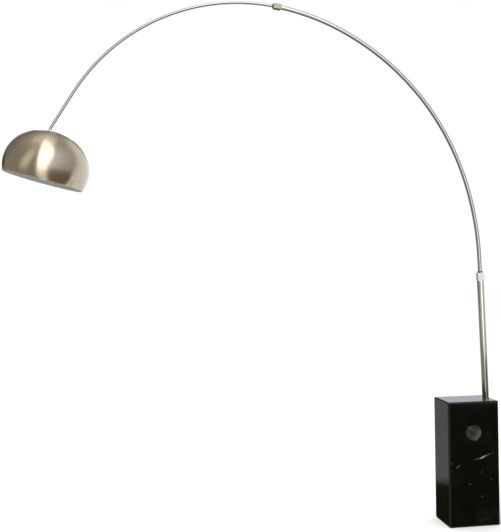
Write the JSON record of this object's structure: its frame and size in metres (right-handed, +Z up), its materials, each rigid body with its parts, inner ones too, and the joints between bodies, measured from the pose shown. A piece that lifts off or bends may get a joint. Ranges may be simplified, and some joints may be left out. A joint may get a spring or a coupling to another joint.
{
  "type": "arc floor lamp",
  "caption": "Floor lamp with a heavy stone block, a post, a long telescoping arched arm and a tilting domed metal shade over a perforated cap.",
  "frame": {"origin": "centre of the block's felt underside, on the floor", "axes": "+Z up; the arm reaches towards -X in the plane y = 0; the block's wide front face looks towards -Y"},
  "size_m": [2.116, 0.3515, 2.3044],
  "materials": {
    "marble": "polished",
    "felt": "matte",
    "satin_steel": "satin",
    "collar_steel": "satin",
    "shade_metal": "satin",
    "zinc_steel": "satin",
    "bulb_metal": "satin",
    "brass": "satin",
    "rubber": "matte",
    "nylon": "matte",
    "phenolic": "satin",
    "ceramic_core": "gloss",
    "bulb_glass": "gloss"
  },
  "bodies": {
    "base": {"base_felt": "felt", "marble_base": "marble", "cable_grommet": "rubber", "anchor_stud": "zinc_steel", "anchor_washer": "zinc_steel", "anchor_spring_washer": "zinc_steel", "anchor_nut": "zinc_steel", "lower_post": "satin_steel", "post_end_plug": "zinc_steel", "lower_collar": "collar_steel", "lower_collar_screw_1": "zinc_steel", "lower_collar_screw_2": "zinc_steel", "lower_wiper_ring": "rubber"},
    "mid_arm": {"mid_arch": "satin_steel", "leg_foot_bush": "nylon", "mouth_bush": "nylon", "upper_collar": "collar_steel", "upper_collar_clamp_screw": "zinc_steel", "upper_collar_fixing_screw": "zinc_steel", "upper_wiper_ring": "rubber"},
    "outer_arm": {"outer_arch": "satin_steel", "tail_bush": "nylon", "arm_end_collar": "collar_steel", "vent_cap": "shade_metal", "cap_washer": "zinc_steel", "lock_nut": "zinc_steel", "holder_stem": "zinc_steel", "holder_cap": "phenolic", "holder_skirt": "phenolic", "holder_core": "ceramic_core", "holder_screw_shell": "brass", "holder_contact": "brass", "bulb_base": "bulb_metal", "bulb_glass": "bulb_glass"},
    "shade_swivel": {"glide_ring": "nylon"},
    "shade": {"shade_bowl": "shade_metal"}
  },
  "joints": [
    {"name": "height_slide", "type": "slide", "parent": "base", "child": "mid_arm", "axis": [-0.0323, 0, 0.9995], "range_m": [-0.045, 0.15]},
    {"name": "reach_slide", "type": "hinge", "parent": "mid_arm", "child": "outer_arm", "pos_m": [-0.99039, 0, 1.33437], "axis": [0, -1, 0], "range_deg": [-4.5, 7.6]},
    {"name": "shade_turn", "type": "hinge", "parent": "outer_arm", "child": "shade_swivel", "pos_m": [-1.83293, 0, 1.5435], "axis": [0.1392, 0, 0.9903], "continuous": true},
    {"name": "shade_tilt", "type": "hinge", "parent": "shade_swivel", "child": "shade", "pos_m": [-1.83293, 0, 1.5435], "axis": [0, 1, 0], "range_deg": [-15, 0.8]}
  ]
}
